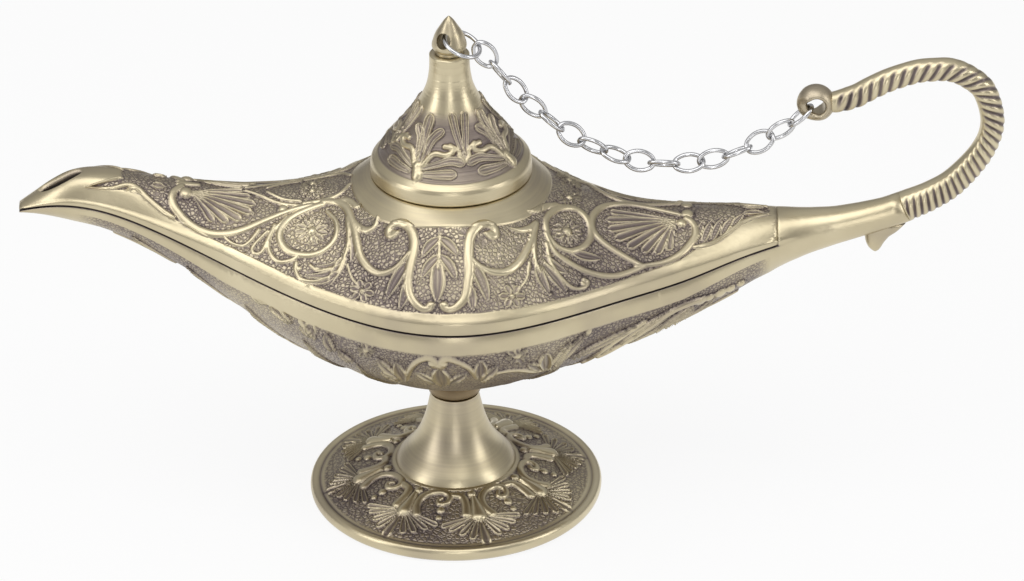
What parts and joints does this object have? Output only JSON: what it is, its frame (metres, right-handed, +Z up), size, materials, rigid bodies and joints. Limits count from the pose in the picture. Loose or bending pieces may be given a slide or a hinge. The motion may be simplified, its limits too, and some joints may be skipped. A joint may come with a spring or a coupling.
{
  "type": "genie oil lamp",
  "caption": "Footed brass oil lamp with a long spout, a twisted loop handle and a domed lid that lifts and turns, its finial chained to the handle.",
  "frame": {"origin": "centre of the foot's underside, on the axis of the stem, the opening and the lid", "axes": "+X towards the handle, -X towards the spout, +Z up"},
  "size_m": [0.2035, 0.0698, 0.112],
  "materials": {
    "brass": "satin, antique patina in the recesses",
    "chain_plate": "bright white-metal plating",
    "screw_steel": "plain"
  },
  "bodies": {
    "base": {"bowl": "brass", "cover": "brass", "handle": "brass", "stem": "brass", "foot": "brass", "clamp_screw": "screw_steel", "clamp_washer": "screw_steel", "locating_pin": "screw_steel"},
    "finial": {"finial": "brass", "finial_rivet": "brass"},
    "lid": {"lid": "brass"},
    "links_16_14": {"link_16": "chain_plate", "link_15": "chain_plate", "link_14": "chain_plate"},
    "links_13_11": {"link_13": "chain_plate", "link_12": "chain_plate", "link_11": "chain_plate"},
    "links_10_08": {"link_10": "chain_plate", "link_09": "chain_plate", "link_08": "chain_plate"},
    "links_07_05": {"link_07": "chain_plate", "link_06": "chain_plate", "link_05": "chain_plate"},
    "links_04_02": {"link_04": "chain_plate", "link_03": "chain_plate", "link_02": "chain_plate"},
    "link_01_ring": {"link_01": "chain_plate", "finial_ring": "chain_plate"}
  },
  "joints": [
    {"name": "lid_lift", "type": "slide", "parent": "base", "child": "finial", "axis": [0, 0, 1], "range_m": [0, 0.01]},
    {"name": "lid_turn", "type": "hinge", "parent": "finial", "child": "lid", "pos_m": [0, 0, 0.1021], "axis": [0, 0, 1], "continuous": true},
    {"name": "chain_16", "type": "hinge", "parent": "base", "child": "links_16_14", "pos_m": [0.07392, 0, 0.08996], "axis": [0, -1, 0], "range_deg": [-13.32, 0]},
    {"name": "chain_13", "type": "hinge", "parent": "links_16_14", "child": "links_13_11", "pos_m": [0.06141, 0, 0.08098], "axis": [0, -1, 0], "range_deg": [0, 1.94]},
    {"name": "chain_10", "type": "hinge", "parent": "links_13_11", "child": "links_10_08", "pos_m": [0.04652, 0, 0.07729], "axis": [0, -1, 0], "range_deg": [0, 2.61]},
    {"name": "chain_07", "type": "hinge", "parent": "links_10_08", "child": "links_07_05", "pos_m": [0.03153, 0, 0.08055], "axis": [0, -1, 0], "range_deg": [0, 3.06]},
    {"name": "chain_04", "type": "hinge", "parent": "links_07_05", "child": "links_04_02", "pos_m": [0.01884, 0, 0.08925], "axis": [0, -1, 0], "range_deg": [0, 3.27]},
    {"name": "chain_01", "type": "hinge", "parent": "links_04_02", "child": "link_01_ring", "pos_m": [0.00876, 0, 0.10093], "axis": [0, -1, 0], "range_deg": [0, 1.81]}
  ],
  "couplings": [
    {"joint": "chain_16", "follows": "lid_lift", "rad_per_m": -22.368},
    {"joint": "chain_13", "follows": "lid_lift", "rad_per_m": 3.031},
    {"joint": "chain_10", "follows": "lid_lift", "rad_per_m": 4.201},
    {"joint": "chain_07", "follows": "lid_lift", "rad_per_m": 4.995},
    {"joint": "chain_04", "follows": "lid_lift", "rad_per_m": 5.358},
    {"joint": "chain_01", "follows": "lid_lift", "rad_per_m": 2.809}
  ]
}
